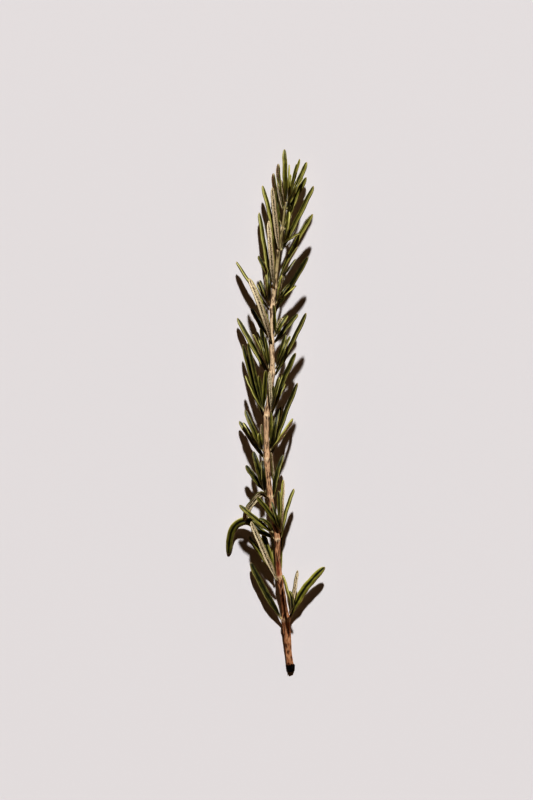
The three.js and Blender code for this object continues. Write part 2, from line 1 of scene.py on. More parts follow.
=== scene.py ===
# %% [markdown]
# # A cut sprig of rosemary
#
# One woody stem with whorls of narrow leaves, lying on a pale table and seen from straight
# above. The frame gives every leaf and the stem as a coarse closed body in its true place. The
# bodies could be subdivided and carved one by one, but there are about a hundred leaves that
# differ only in their line and size. So one fine leaf is modelled once and bent along each of
# them, and a barky stem is grown along the frame's stem.

# %% Load the frame
import math

import bmesh
import bpy
import numpy as np
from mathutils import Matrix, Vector, noise


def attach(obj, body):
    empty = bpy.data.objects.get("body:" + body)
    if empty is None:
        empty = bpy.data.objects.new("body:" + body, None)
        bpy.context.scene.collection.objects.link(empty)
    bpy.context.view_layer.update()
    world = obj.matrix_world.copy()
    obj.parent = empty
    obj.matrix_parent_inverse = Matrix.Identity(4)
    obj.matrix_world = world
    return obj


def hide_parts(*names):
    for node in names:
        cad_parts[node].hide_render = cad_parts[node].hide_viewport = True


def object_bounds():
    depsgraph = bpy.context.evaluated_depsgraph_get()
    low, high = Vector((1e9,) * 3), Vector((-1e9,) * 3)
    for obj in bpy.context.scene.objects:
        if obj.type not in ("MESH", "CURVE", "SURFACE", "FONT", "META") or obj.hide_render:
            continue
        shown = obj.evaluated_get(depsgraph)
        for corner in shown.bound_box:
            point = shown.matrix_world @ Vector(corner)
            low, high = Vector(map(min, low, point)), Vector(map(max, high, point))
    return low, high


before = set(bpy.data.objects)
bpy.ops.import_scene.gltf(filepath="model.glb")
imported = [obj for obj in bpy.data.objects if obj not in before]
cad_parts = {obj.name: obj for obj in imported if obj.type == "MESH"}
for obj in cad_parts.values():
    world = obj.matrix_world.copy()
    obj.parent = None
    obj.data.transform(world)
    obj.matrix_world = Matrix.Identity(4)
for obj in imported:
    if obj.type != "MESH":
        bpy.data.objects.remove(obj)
MM = 0.001
cad_low, cad_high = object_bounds()
middle = (cad_low + cad_high) / 2
length = cad_high.y - cad_low.y
print("nodes", len(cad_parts), "sprig length", round(length, 4))

# %% [markdown]
# ## Camera and table
#
# The camera looks straight down with the growing tip at the top, and the sprig takes about two
# thirds of the view. A long lens from far away keeps the raised leaves from leaning outwards,
# as they would with a short lens close by. The table is one pale matte sheet, so it needs no
# more than a plane and a plain material.

# %% Camera
VIEW_SPAN = 1.538 * length  # what the long side of the view takes in
VIEW_CENTRE = Vector((-2.7 * MM, 3.6 * MM, 0))  # the sprig lies a little right of it and below
LENS = 85
SENSOR = 36
NEAREST_SEEN = 0.01

bpy.ops.object.select_all(action="DESELECT")
camera_height = VIEW_SPAN * LENS / SENSOR
bpy.ops.object.camera_add(location=VIEW_CENTRE + Vector((0, 0, camera_height)), rotation=(0, 0, 0))
camera = bpy.context.object
camera.data.lens = LENS
camera.data.sensor_width = SENSOR
camera.data.clip_start = NEAREST_SEEN
bpy.context.scene.camera = camera
print("camera height", round(camera_height, 3))

# %% Table
TABLE_SIZE = 4
TABLE_COLOUR = (0.515, 0.487, 0.487)
TABLE_ROUGHNESS = 0.85


def plain_material(name, colour, roughness):
    material = bpy.data.materials.new(name)
    material.use_nodes = True
    shader = material.node_tree.nodes["Principled BSDF"]
    shader.inputs["Base Color"].default_value = (*colour, 1)
    shader.inputs["Roughness"].default_value = roughness
    return material


bpy.ops.mesh.primitive_plane_add(size=TABLE_SIZE, location=(0, 0, 0))
table = bpy.context.object
table.name = "table"
table.data.materials.append(plain_material("pale_table", TABLE_COLOUR, TABLE_ROUGHNESS))
print("table", table.dimensions.x, "wide")

# %% [markdown]
# ## Light
#
# The key light stands beyond the tip, low enough to rake over the leaves and throw their
# shadows towards the cut end. A sun lamp gives every leaf the same direction, which an area
# lamp this close would not. The shadows are filled by a warm soft light. Light from the whole
# sky would reach between the leaves and make the gaps grey, so this one comes in low over the
# table, where the leaves stand in its way. The camera itself sees a pale backdrop instead.

# %% Key light
KEY_HEIGHT_ANGLE = math.radians(36)
KEY_LEAN = math.radians(2)  # towards the right of straight beyond the tip
KEY_STRENGTH = 5.65
KEY_SOFTNESS = math.radians(3.2)  # how wide the light looks from the table
KEY_COLOUR = (0.95, 0.98, 1.0)

towards_key = Vector(
    (
        math.sin(KEY_LEAN) * math.cos(KEY_HEIGHT_ANGLE),
        math.cos(KEY_LEAN) * math.cos(KEY_HEIGHT_ANGLE),
        math.sin(KEY_HEIGHT_ANGLE),
    )
)
bpy.ops.object.light_add(type="SUN", location=middle + towards_key * length * 3)
key = bpy.context.object
key.rotation_euler = towards_key.to_track_quat("Z", "Y").to_euler()
key.data.energy = KEY_STRENGTH
key.data.angle = KEY_SOFTNESS
key.data.color = KEY_COLOUR
print("key light from", [round(part, 2) for part in towards_key])


# %% A helper that wires nodes together
class Wiring:
    """A node tree that is put together a few nodes at a time."""

    def __init__(self, tree):
        self.tree = tree

    def node(self, kind, **settings):
        made = self.tree.nodes.new(kind)
        for name, value in settings.items():
            setattr(made, name, value)
        return made

    def put(self, socket, value):
        """Links a socket to another one, or sets it where the value is a plain one."""
        if isinstance(value, bpy.types.NodeSocket):
            self.tree.links.new(value, socket)
        else:
            socket.default_value = value

    def math(self, operation, a, b=0.0, **settings):
        made = self.node("ShaderNodeMath", operation=operation, **settings)
        self.put(made.inputs[0], a)
        self.put(made.inputs[1], b)
        return made.outputs[0]


# %% Soft light and backdrop
SKY_COLOUR = (1.0, 0.56, 0.25)
SKY_STRENGTH = 1.7  # level with the table
SKY_LOWNESS = 6  # how quickly the soft light weakens higher up
BACKDROP_COLOUR = (0.57, 0.53, 0.53)

world = bpy.data.worlds.new("studio")
bpy.context.scene.world = world
world.use_nodes = True
studio = Wiring(world.node_tree)
heading = studio.node("ShaderNodeSeparateXYZ")
studio.put(heading.inputs["Vector"], studio.node("ShaderNodeTexCoord").outputs["Object"])
level_share = studio.math("SUBTRACT", 1.0, heading.outputs["Z"], use_clamp=True)
low_light = studio.math("POWER", level_share, SKY_LOWNESS)
sky = studio.tree.nodes["Background"]
studio.put(sky.inputs["Color"], (*SKY_COLOUR, 1))
studio.put(sky.inputs["Strength"], studio.math("MULTIPLY", low_light, SKY_STRENGTH))

backdrop = studio.node("ShaderNodeBackground")
studio.put(backdrop.inputs["Color"], (*BACKDROP_COLOUR, 1))
lit_or_seen = studio.node("ShaderNodeMixShader")
seen = studio.node("ShaderNodeLightPath").outputs["Is Camera Ray"]
for socket, value in zip(lit_or_seen.inputs, (seen, sky.outputs[0], backdrop.outputs[0])):
    studio.put(socket, value)
studio.put(studio.tree.nodes["World Output"].inputs["Surface"], lit_or_seen.outputs[0])
bpy.context.scene.view_settings.view_transform = "Standard"  # colours as they are
bpy.context.scene.view_settings.look = "High Contrast"  # with deep shadows
print("studio nodes", len(studio.tree.nodes))

# %% [markdown]
# ## Reading the frame
#
# A frame leaf is a coarse body with rings of six corners between a point at its base and a
# point at its tip, and the stem has rings of ten. The lines of the leaves could be typed in
# again, but then they would drift from the frame when it changes. Walking away from an end,
# each step along the edges finds one whole ring, so the walk gives back the line itself.


# %% Walk the rings
DOUBLED = 0.002 * MM  # corners closer than this are one corner


def merged_corners(node):
    """The corners of a frame node and which of them share an edge."""
    soup = bmesh.new()
    soup.from_mesh(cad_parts[node].data)
    bmesh.ops.remove_doubles(soup, verts=soup.verts, dist=DOUBLED)
    soup.verts.ensure_lookup_table()
    places = [corner.co.copy() for corner in soup.verts]
    joined = [{edge.other_vert(end).index for edge in end.link_edges} for end in soup.verts]
    soup.free()
    return places, joined


def rings_from(end, joined, sides):
    """The rings met walking away from a corner, and the corners where they stop."""
    seen, rings, edge = {end}, [], {end}
    while True:
        edge = set().union(*(joined[corner] for corner in edge)) - seen
        if len(edge) != sides:
            return rings, edge
        rings.append(sorted(edge))
        seen |= edge


# %% Read the stem
STEM_SIDES = 10
stem_places, stem_joined = merged_corners("stem")
stem_ends = [i for i in range(len(stem_places)) if len(stem_joined[i]) == STEM_SIDES]
cut_end = min(stem_ends, key=lambda i: stem_places[i].y)
stem_rings, _ = rings_from(cut_end, stem_joined, STEM_SIDES)


def ring_middle(ring):
    return sum((stem_places[i] for i in ring), Vector()) / STEM_SIDES


def ring_radius(ring):
    return np.mean([(stem_places[i] - ring_middle(ring)).length for i in ring])


stem_middle = np.array([ring_middle(ring) for ring in stem_rings])
stem_radius = np.array([ring_radius(ring) for ring in stem_rings])


def off_stem(place):
    """How far a point is from the middle of the stem."""
    return float(np.min(np.linalg.norm(stem_middle - np.array(place), axis=1)))


print("stem rings", len(stem_rings), "radii", np.round(stem_radius[[0, -1]] / MM, 2), "mm")


# %% Read one leaf
def read_ring(places, ring):
    """Middle, half width and the way to the upper face of one ring of a frame leaf."""
    corners = [places[i] for i in ring]
    pairs = [(a, b) for a in corners for b in corners]
    left, right = max(pairs, key=lambda pair: (pair[0] - pair[1]).length)
    margins = (left + right) / 2
    others = [corner for corner in corners if corner not in (left, right)]
    body = sum(others, Vector()) / len(others)
    return margins, (right - left) / 2, body - margins


def shape_line(rings):
    """Turns a leaf's rings into plain arrays, with every face square to the line."""
    middles = np.array([centre for centre, _, _ in rings])
    along = np.gradient(middles, axis=0)
    along /= np.linalg.norm(along, axis=1)[:, None]
    face = np.array([up for _, _, up in rings])
    face -= along * np.sum(face * along, axis=1)[:, None]
    face /= np.linalg.norm(face, axis=1)[:, None]
    half = np.array([width.length for _, width, _ in rings])
    return {"middle": middles, "face": face, "half": half}


# %% Read every leaf
LEAF_SIDES = 6
FEWEST_RINGS = 3


def is_base(places, rings, end):
    """The base end of a leaf is the one nearer the stem."""
    return off_stem(places[end]) < off_stem(places[rings[-1][0]])


def leaf_lines(node):
    """Every leaf of a frame node, base to tip, and the corners that belong to none."""
    places, joined = merged_corners(node)
    lines, used = [], set()
    for corner in range(len(places)):
        if len(joined[corner]) != LEAF_SIDES or corner in used:
            continue
        rings, rest = rings_from(corner, joined, LEAF_SIDES)
        if len(rings) < FEWEST_RINGS:
            continue
        one_leaf = len(rest) == 1  # the walk came out at the other end
        if one_leaf and is_base(places, rings, corner):
            continue
        line = shape_line([read_ring(places, ring) for ring in reversed(rings)])
        line["tip"] = np.array(places[corner])
        line["base"] = np.array(places[rest.pop()]) if one_leaf else None
        lines.append(line)
        used |= {corner}.union(*map(set, rings))
    loose = [places[i] for i in range(len(places)) if i not in used]
    return lines, loose


leaf_nodes = sorted(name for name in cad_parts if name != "stem")
leaves_of, loose_of = {}, {}
for node in leaf_nodes:
    leaves_of[node], loose_of[node] = leaf_lines(node)
print("leaves", sum(len(found) for found in leaves_of.values()), "in", len(leaf_nodes), "pieces")

# %% [markdown]
# ## Where a leaf meets the stem
#
# A rosemary leaf has almost no stalk: its base narrows and grows straight out of the bark.
# Stalks could be modelled as pieces of their own, but a seam would show where there is none,
# so every leaf line is carried on into the stem. The leaves of a side shoot stand together on
# a short bud in the angle of an older leaf, and their lines are carried on to that bud.

# %% Finish the lines at their base
INTO_BARK = 0.25 * MM  # how deep a leaf is rooted
BUD_REACH = 1.5 * MM  # corners this close to a shoot's foot belong to its bud


def stem_point_near(place):
    """The middle of the stem and its radius beside a point."""
    i = int(np.argmin(np.linalg.norm(stem_middle - place, axis=1)))
    return stem_middle[i], stem_radius[i]


def into_stem(place):
    """Where a leaf that starts at a point comes out of the wood."""
    centre, radius = stem_point_near(place)
    outward = (place - centre) / np.linalg.norm(place - centre)
    return centre + outward * (radius - INTO_BARK)


def bud_middle(loose):
    """The middle of the bud that a side shoot's leaves stand on."""
    foot = np.array(min(loose, key=off_stem))
    places = [np.array(place) for place in loose]
    return np.mean([place for place in places if np.linalg.norm(place - foot) < BUD_REACH], axis=0)


buds = {}
for node in leaf_nodes:
    if node.startswith("shoot"):
        buds[node] = bud_middle(loose_of[node])
    for line in leaves_of[node]:
        on_bud = line["base"] is None
        start = [buds[node]] if on_bud else [into_stem(line["base"]), line["base"]]
        line["points"] = np.array([*start, *line["middle"], line["tip"]])
        first, last = line["face"][0], line["face"][-1]
        line["faces"] = np.array([*[first] * len(start), *line["face"], last])
print("buds", len(buds))

# %% [markdown]
# ## One leaf, modelled once
#
# A rosemary leaf is a narrow strap with both margins rolled under. Above it is convex with a
# groove along its midrib, and below there is a felted hollow on each side of a raised midrib.
# A strip with a Solidify modifier would have no rolled margins, so the leaf starts from the cut
# through it instead. A filled circle's points are moved to that outline, and the face is then
# extruded along the leaf and resized ring by ring, narrow at the stalk, even along the blade
# and blunt at the tip. One level of subdivision rounds it all.

# %% The cut through a leaf
# Half of the outline, from the groove on top round the margin to the midrib below:
# across (1 is the margin) and height (1 is the highest the upper face gets).
LEAF_CUT = [
    (0.0, 0.42),
    (0.2, 0.86),
    (0.5, 0.98),
    (0.8, 0.66),
    (0.98, 0.02),
    (0.99, -0.5),
    (0.8, -0.92),
    (0.56, -0.7),
    (0.26, -0.36),
    (0.0, -0.88),
]
CUT_CORNERS = 2 * (len(LEAF_CUT) - 1)


def edit(obj):
    """Selects one object alone and opens it for editing with everything in it selected."""
    bpy.ops.object.select_all(action="DESELECT")
    obj.select_set(True)
    bpy.context.view_layer.objects.active = obj
    bpy.ops.object.mode_set(mode="EDIT")
    bpy.ops.mesh.select_all(action="SELECT")


def shape_cut(obj, outline):
    """Moves the corners of an upright circle onto an outline that is given for one half."""
    shape = bmesh.from_edit_mesh(obj.data)
    for corner in shape.verts:
        turned = math.atan2(abs(corner.co.x), corner.co.z)
        across, height = outline[round(turned / math.pi * (len(outline) - 1))]
        corner.co = (math.copysign(across, corner.co.x), 0, height)
    bmesh.update_edit_mesh(obj.data)


print("corners round a leaf", CUT_CORNERS)

# %% The leaf's outline
STALK_WIDTH = 0.3  # as a share of the blade's width
STALK_END = 0.34  # all of these are shares of the leaf's length
TAPER_START = 0.35
TAPER = 0.14  # how much narrower the blade is at its tip
TIP_START = 0.8
TIP_LENGTH = 0.203  # a little more than is left, so that the end stays blunt
TIP_FULLNESS = 2.2
NARROWEST = 0.12


def ease(value):
    value = np.clip(value, 0, 1)
    return value * value * (3 - 2 * value)


def fullness(share):
    """How wide the blade is at a share of its length: a short stalk, an even blade, a blunt tip."""
    stalk = STALK_WIDTH + (1 - STALK_WIDTH) * ease(share / STALK_END)
    taper = 1 - TAPER * ease((share - TAPER_START) / (1 - TAPER_START))
    tip = np.sqrt(1 - np.clip((share - TIP_START) / TIP_LENGTH, 0, 1) ** TIP_FULLNESS)
    return stalk * taper * tip


print("outline", [round(float(fullness(share)), 2) for share in (0, 0.25, 0.5, 0.75, 1)])

# %% Model the leaf
LEAF_RINGS = 24


def round_off(obj):
    """Subdivides a piece once and smooths its shading."""
    rounding = obj.modifiers.new("rounding", "SUBSURF")
    rounding.levels = rounding.render_levels = 1
    bpy.ops.object.modifier_apply(modifier=rounding.name)
    bpy.ops.object.shade_smooth()


def model_leaf():
    bpy.ops.object.select_all(action="DESELECT")
    bpy.ops.mesh.primitive_circle_add(
        vertices=CUT_CORNERS, radius=1, fill_type="NGON", rotation=(math.pi / 2, 0, 0)
    )
    leaf = bpy.context.object
    leaf.name = "leaf_pattern"
    bpy.ops.object.transform_apply(location=True, rotation=True, scale=True)
    edit(leaf)
    shape_cut(leaf, LEAF_CUT)
    before = float(fullness(0))
    bpy.ops.transform.resize(value=(before, 1, math.sqrt(before)), center_override=(0, 0, 0))
    for ring in range(1, LEAF_RINGS + 1):
        share = ring / LEAF_RINGS
        now = max(float(fullness(share)), NARROWEST)
        bpy.ops.mesh.extrude_region_move(TRANSFORM_OT_translate={"value": (0, 1 / LEAF_RINGS, 0)})
        ratio = now / before
        bpy.ops.transform.resize(value=(ratio, 1, math.sqrt(ratio)), center_override=(0, share, 0))
        before = now
    bpy.ops.mesh.select_all(action="SELECT")
    bpy.ops.mesh.normals_make_consistent(inside=False)
    bpy.ops.object.mode_set(mode="OBJECT")
    round_off(leaf)
    return leaf


def corners_of(obj):
    flat = np.empty(len(obj.data.vertices) * 3)
    obj.data.vertices.foreach_get("co", flat)
    return flat.reshape(-1, 3)


leaf_pattern = model_leaf()
leaf_shape = corners_of(leaf_pattern)
print("leaf pattern", len(leaf_shape), "corners", len(leaf_pattern.data.polygons), "faces")

# %% [markdown]
# ## Bending a shape along a line
#
# The leaf on the real sprig is curved and twisted, and the modelled one is straight, one unit
# long and one unit to each margin. A Curve modifier could bend it, but it gives no say in
# which way the upper face looks. So the bend is worked out point by point: length is mapped
# onto a smooth curve, width across that curve, and height along the way the upper face looks.

# %% Bend
LOOK_AHEAD = 0.004  # as a share of the length, to find which way the curve runs
TINY = 1e-12


def lengths_along(points):
    """How far along a row of points each one lies."""
    return np.concatenate([[0], np.cumsum(np.linalg.norm(np.diff(points, axis=0), axis=1))])


def smooth_along(at, points, share):
    """Points on the smooth curve through some points, at shares of the whole length."""
    slopes = np.gradient(points, at, axis=0)
    where = np.clip(share, 0, 1) * at[-1]
    i = np.clip(np.searchsorted(at, where, side="right") - 1, 0, len(at) - 2)
    gap = at[i + 1] - at[i]
    t = ((where - at[i]) / gap)[:, None]
    gap = gap[:, None]
    return (
        (2 * t**3 - 3 * t**2 + 1) * points[i]
        + (t**3 - 2 * t**2 + t) * gap * slopes[i]
        + (3 * t**2 - 2 * t**3) * points[i + 1]
        + (t**3 - t**2) * gap * slopes[i + 1]
    )


def unit(vectors):
    """Rows of vectors, or one vector, made one unit long."""
    return vectors / np.maximum(np.linalg.norm(vectors, axis=-1, keepdims=True), TINY)


def bend(shape, points, faces, half, thickness):
    """Carries a straight shape onto the curve through some points."""
    share = shape[:, 1]
    at = lengths_along(points)
    centre = smooth_along(at, points, share)
    ahead = smooth_along(at, points, share + LOOK_AHEAD)
    behind = smooth_along(at, points, np.minimum(share, 1 - LOOK_AHEAD))
    along = unit(ahead - behind)
    face = smooth_along(at, faces, share)
    face = unit(face - along * np.sum(face * along, axis=1)[:, None])
    across = np.cross(along, face)
    return centre + across * (half * shape[:, :1]) + face * (thickness * shape[:, 2:])


# %% Copy, place and mark a pattern
ON_TABLE = 0.02 * MM  # nothing goes lower than this
random = np.random.default_rng(14)


def copy_of(pattern, name):
    copy = pattern.copy()
    copy.data = pattern.data.copy()
    copy.name = copy.data.name = name
    bpy.context.collection.objects.link(copy)
    return copy


def place_corners(obj, placed):
    placed[:, 2] = np.maximum(placed[:, 2], ON_TABLE)
    obj.data.vertices.foreach_set("co", placed.ravel())
    obj.data.update()


def mark(obj, **layers):
    """Stores named numbers on a piece's corners, for its finish to read."""
    for name, values in layers.items():
        layer = obj.data.attributes.new(name, "FLOAT", "POINT")
        spread = np.broadcast_to(values, len(obj.data.vertices))
        layer.data.foreach_set("value", spread.astype(np.float32))


# %% [markdown]
# ## A leaf of its own
#
# No two leaves on a sprig are alike. Sculpting each by hand would take days, and exact copies
# would look stamped out, so every copy gets a little of its own in the same step that bends
# it: slow waves along its margins, a lengthways dent and a tone. Where on the leaf each point
# lies is stored with it, so that the finish can tell the upper face, the pale underside, the
# midrib and the margins apart.

# %% Grow one leaf
LEAF_THICKNESS = 0.42  # as a share of half the width
MARGIN_WAVES = ((0.05, 5), (0.03, 11))  # height and half turns of each wave along the margins
DENT_DEPTH = 0.16
DENT_WAVES = 7
DENT_START = 0.25  # the share of the leaf over which the dent sets in


def grow_leaf(name, line):
    leaf = copy_of(leaf_pattern, name)
    half = float(np.max(line["half"]))
    shape = leaf_shape.copy()
    share = np.clip(shape[:, 1], 0, 1)
    full = np.maximum(fullness(share), NARROWEST)
    across = shape[:, 0] / full
    height = shape[:, 2] / np.sqrt(full)
    phases = random.uniform(0, 2 * math.pi, 3)
    wave = sum(
        size * np.sin(turns * math.pi * share + phase)
        for (size, turns), phase in zip(MARGIN_WAVES, phases)
    )
    shape[:, 0] *= 1 + wave * np.sign(shape[:, 0] * random.choice([-1, 1]))
    dent = np.sin(DENT_WAVES * math.pi * share + phases[2]) * across**2 * ease(share / DENT_START)
    shape[:, 2] += DENT_DEPTH * dent
    place_corners(leaf, bend(shape, line["points"], line["faces"], half, half * LEAF_THICKNESS))
    mark(leaf, along=share, across=across, height=height, tone=random.uniform(0, 1))
    return leaf


# %% [markdown]
# ## The bud of a side shoot
#
# Each side shoot stands on a bud: a blunt little cone wrapped in scales. Scales could be cut as
# separate petals, but the whole bud is less than two millimetres long, so one ball is enough:
# every third meridian is pushed in, which leaves the scales standing proud, and the ball is
# then drawn out along the shoot.

# %% Model the bud
BUD_MERIDIANS = 12
BUD_PARALLELS = 8
SCALE_MERIDIANS = 3  # a groove at every third meridian
GROOVE = 0.72  # how far a groove is from the middle, as a share of the ball's radius
POLE = 0.99


def model_bud():
    bpy.ops.object.select_all(action="DESELECT")
    bpy.ops.mesh.primitive_uv_sphere_add(
        segments=BUD_MERIDIANS, ring_count=BUD_PARALLELS, radius=1, rotation=(-math.pi / 2, 0, 0)
    )
    bud = bpy.context.object
    bud.name = "bud_pattern"
    bpy.ops.object.transform_apply(location=True, rotation=True, scale=True)
    edit(bud)
    shape = bmesh.from_edit_mesh(bud.data)
    for corner in shape.verts:
        turn = math.atan2(corner.co.z, corner.co.x) / (2 * math.pi)
        in_groove = round(turn * BUD_MERIDIANS) % SCALE_MERIDIANS == 1
        corner.select = in_groove and abs(corner.co.y) < POLE
    bmesh.update_edit_mesh(bud.data)
    bpy.ops.transform.resize(value=(GROOVE, 1, GROOVE), center_override=(0, 0, 0))
    bpy.ops.object.mode_set(mode="OBJECT")
    round_off(bud)
    return bud


bud_pattern = model_bud()
bud_shape = corners_of(bud_pattern)
print("bud pattern", len(bud_shape), "corners")

# %% Grow one bud
BUD_LENGTH = 1.5 * MM
BUD_WIDTH = 0.42 * MM
BUD_SUNK = 0.12 * MM  # how deep it stands in the bark
FULL_BUD_STEM = 0.85 * MM  # on a thinner stem than this, the buds are thinner too
BUD_MARKS = {"along": 0.02, "across": 0.0, "height": 0.5, "tone": 0.9}  # pale, like a stalk


def grow_bud(name, place, towards):
    bud = copy_of(bud_pattern, name)
    centre, radius = stem_point_near(place)
    outward = unit(place - centre)
    heading = unit(towards - place)
    across = unit(np.cross(heading, outward))
    out = np.cross(across, heading)
    width = BUD_WIDTH * min(1.0, radius / FULL_BUD_STEM)
    placed = (
        place
        - outward * BUD_SUNK
        + bud_shape[:, :1] * across * width
        + bud_shape[:, 1:2] * heading * BUD_LENGTH / 2
        + bud_shape[:, 2:] * out * width
    )
    place_corners(bud, placed)
    mark(bud, **BUD_MARKS)
    return bud


# %% [markdown]
# ## The stem
#
# The stem is woody at its cut end and greenish towards the tip. It swells at every whorl, where
# a pair of leaf bases wraps it, and fine cracks run along the bark between. A Displace modifier
# could roughen it, but its ridges would not run along the bends. So a cylinder is cut into many
# rings in edit mode and bent along the frame's stem like the leaves are, each ring taking the
# frame's radius there, and the ridges are pushed out of it in the same step.

# %% Model the straight stem
STEM_CORNERS = 40
STEM_CUTS = (99, 3)  # once along the whole, then again in every piece
SAME_RING = 1e-4  # edges that reach less far along it run round a ring


def cut_across(obj, shortest, cuts):
    """Cuts the edges that run along a straight shape, and so adds rings to it."""
    edit(obj)
    bpy.ops.mesh.select_all(action="DESELECT")
    shape = bmesh.from_edit_mesh(obj.data)
    for line in shape.edges:
        line.select = abs(line.verts[0].co.y - line.verts[1].co.y) > shortest
    bmesh.update_edit_mesh(obj.data)
    bpy.ops.mesh.subdivide(number_cuts=cuts)
    bpy.ops.object.mode_set(mode="OBJECT")


def model_stem():
    bpy.ops.object.select_all(action="DESELECT")
    bpy.ops.mesh.primitive_cylinder_add(
        vertices=STEM_CORNERS,
        radius=1,
        depth=1,
        location=(0, 0.5, 0),
        rotation=(-math.pi / 2, 0, 0),
    )
    stem = bpy.context.object
    stem.name = "stem_bark"
    bpy.ops.object.transform_apply(location=True, rotation=True, scale=True)
    for cuts in STEM_CUTS:
        cut_across(stem, SAME_RING, cuts)
    bpy.ops.object.shade_smooth()
    return stem


stem = model_stem()
print("stem pattern", len(stem.data.vertices), "corners")

# %% Find the whorls
EVENED_RINGS = 4  # rings on each side that a radius is compared with
WHORL_SWELLING = 0.05  # how much thicker a whorl is, as a share of the radius
BESIDE = 2  # rings on each side that a whorl is thicker than

stem_length_at = lengths_along(stem_middle)
stem_length = stem_length_at[-1]
window = 2 * EVENED_RINGS + 1
padded = np.pad(stem_radius, EVENED_RINGS, mode="edge")
swollen = stem_radius - np.convolve(padded, np.ones(window) / window, mode="valid")
whorls = [
    stem_length_at[i]
    for i in range(BESIDE, len(swollen) - BESIDE)
    if swollen[i] == max(swollen[i - BESIDE : i + BESIDE + 1])
    and swollen[i] > WHORL_SWELLING * stem_radius[i]
]
print("whorls on the stem", [round(w / MM, 1) for w in whorls])

# %% Bark
RIDGE_HEIGHT = 0.075  # of the stem's radius
RIDGE_SPACING = 0.45  # radians round the stem
RIDGE_LENGTH = 3.2 * MM
RIDGE_NOISE = (1, 2, 4)  # how rough, how much finer each layer is, and how many layers
YOUNG_RIDGES = 0.45  # how high the ridges still are near the tip
WOODY_END = 0.5  # the share of the stem that is all wood
WOODY_FADE = 0.4  # the share over which it turns young
LUMP_HEIGHT = 0.05
LUMP_LENGTH = 4 * MM
WHORL_LIP = 0.06 * MM
WHORL_LIP_WIDTH = 0.5 * MM
FULL_LIP_STEM = 0.8 * MM
TORN_LENGTH = 3.2 * MM
TORN_DEPTH = 0.5  # how deep the torn end's notches are, as a share of its radius
TORN_RAG = 1.5 * MM  # how unevenly the end is torn
RAG_LEVEL = 0.55  # how torn a place between ridge and crack is, and how much more a ridge is
RAG_CONTRAST = 1.6
TORN_SLOPE = 0.45  # how much lower the torn end is than the stem behind it
WOUND_PLACE = 31.5 * MM  # a healed scar along the bark: its middle, length and half width
WOUND_LENGTH = 2.4 * MM
WOUND_TURN = math.radians(105)
WOUND_WIDTH = math.radians(26)


def ridge_at(turn, where):
    across, up = math.cos(turn) / RIDGE_SPACING, math.sin(turn) / RIDGE_SPACING
    return noise.fractal(Vector((across, where / RIDGE_LENGTH, up)), *RIDGE_NOISE)


def lump_at(turn, where):
    return noise.noise(Vector((math.cos(turn), where / LUMP_LENGTH, math.sin(turn))))


def grow_bark(stem):
    shape = corners_of(stem)
    share = np.clip(shape[:, 1], 0, 1)
    where = share * stem_length
    radius = np.interp(where, stem_length_at, stem_radius)
    turn = np.arctan2(shape[:, 2], shape[:, 0])
    rim = np.hypot(shape[:, 0], shape[:, 2])
    ridges = np.array([ridge_at(a, w) for a, w in zip(turn, where)])
    lumps = np.array([lump_at(a, w) for a, w in zip(turn, where)])
    lip = sum(np.exp(-(((where - w) / WHORL_LIP_WIDTH) ** 2)) for w in whorls)
    woody = 1 - ease((where - WOODY_END * stem_length) / (WOODY_FADE * stem_length))
    ridged = RIDGE_HEIGHT * ridges * (YOUNG_RIDGES + (1 - YOUNG_RIDGES) * woody)
    out = (1 + ridged + LUMP_HEIGHT * lumps) * radius
    out += WHORL_LIP * lip * np.minimum(1, radius / FULL_LIP_STEM)
    torn = 1 - ease(where / TORN_LENGTH)
    out *= 1 + TORN_DEPTH * torn * ridges
    rounded = np.column_stack([np.cos(turn) * rim * out, share, np.sin(turn) * rim * out])
    faces = np.tile([0.0, 0.0, 1.0], (len(stem_middle), 1))
    placed = bend(rounded, stem_middle, faces, 1, 1)
    placed[:, 1] += TORN_RAG * np.clip(RAG_LEVEL + RAG_CONTRAST * ridges, 0, 1) * torn
    placed[:, 2] *= 1 - TORN_SLOPE * torn
    place_corners(stem, placed)
    scar_along = ((where - WOUND_PLACE) / WOUND_LENGTH) ** 4
    scar_round = ((turn - WOUND_TURN) / WOUND_WIDTH) ** 2
    wound = np.exp(-scar_along - scar_round)
    mark(stem, along=share, ridge=ridges, ring=lip, torn=torn, wound=wound)


grow_bark(stem)
print("stem length", round(stem_length / MM, 1), "mm")

# %% [markdown]
# ## The torn end
#
# The sprig was pulled off its branch rather than cut, so the end is dark and frayed: a few
# splinters of bark stand out past the wood. Extruding them from the stem would tangle its
# rings, so one splinter is modelled from a cone, bent like a leaf and joined on where needed.

# %% Model the splinter
SPLINTER_SIDES = 7
SPLINTER_POINT = 0.12  # how thick its end is, as a share of its foot
SPLINTER_CUTS = 4
LENGTHWAYS = 0.5  # only the edges along the splinter reach this far


def model_splinter():
    bpy.ops.object.select_all(action="DESELECT")
    bpy.ops.mesh.primitive_cone_add(
        vertices=SPLINTER_SIDES,
        radius1=1,
        radius2=SPLINTER_POINT,
        depth=1,
        location=(0, 0.5, 0),
        rotation=(-math.pi / 2, 0, 0),
    )
    splinter = bpy.context.object
    bpy.ops.object.transform_apply(location=True, rotation=True, scale=True)
    cut_across(splinter, LENGTHWAYS, SPLINTER_CUTS)
    bpy.ops.object.shade_smooth()
    return splinter


splinter_pattern = model_splinter()
splinter_shape = corners_of(splinter_pattern)
print("splinter pattern", len(splinter_shape), "corners")

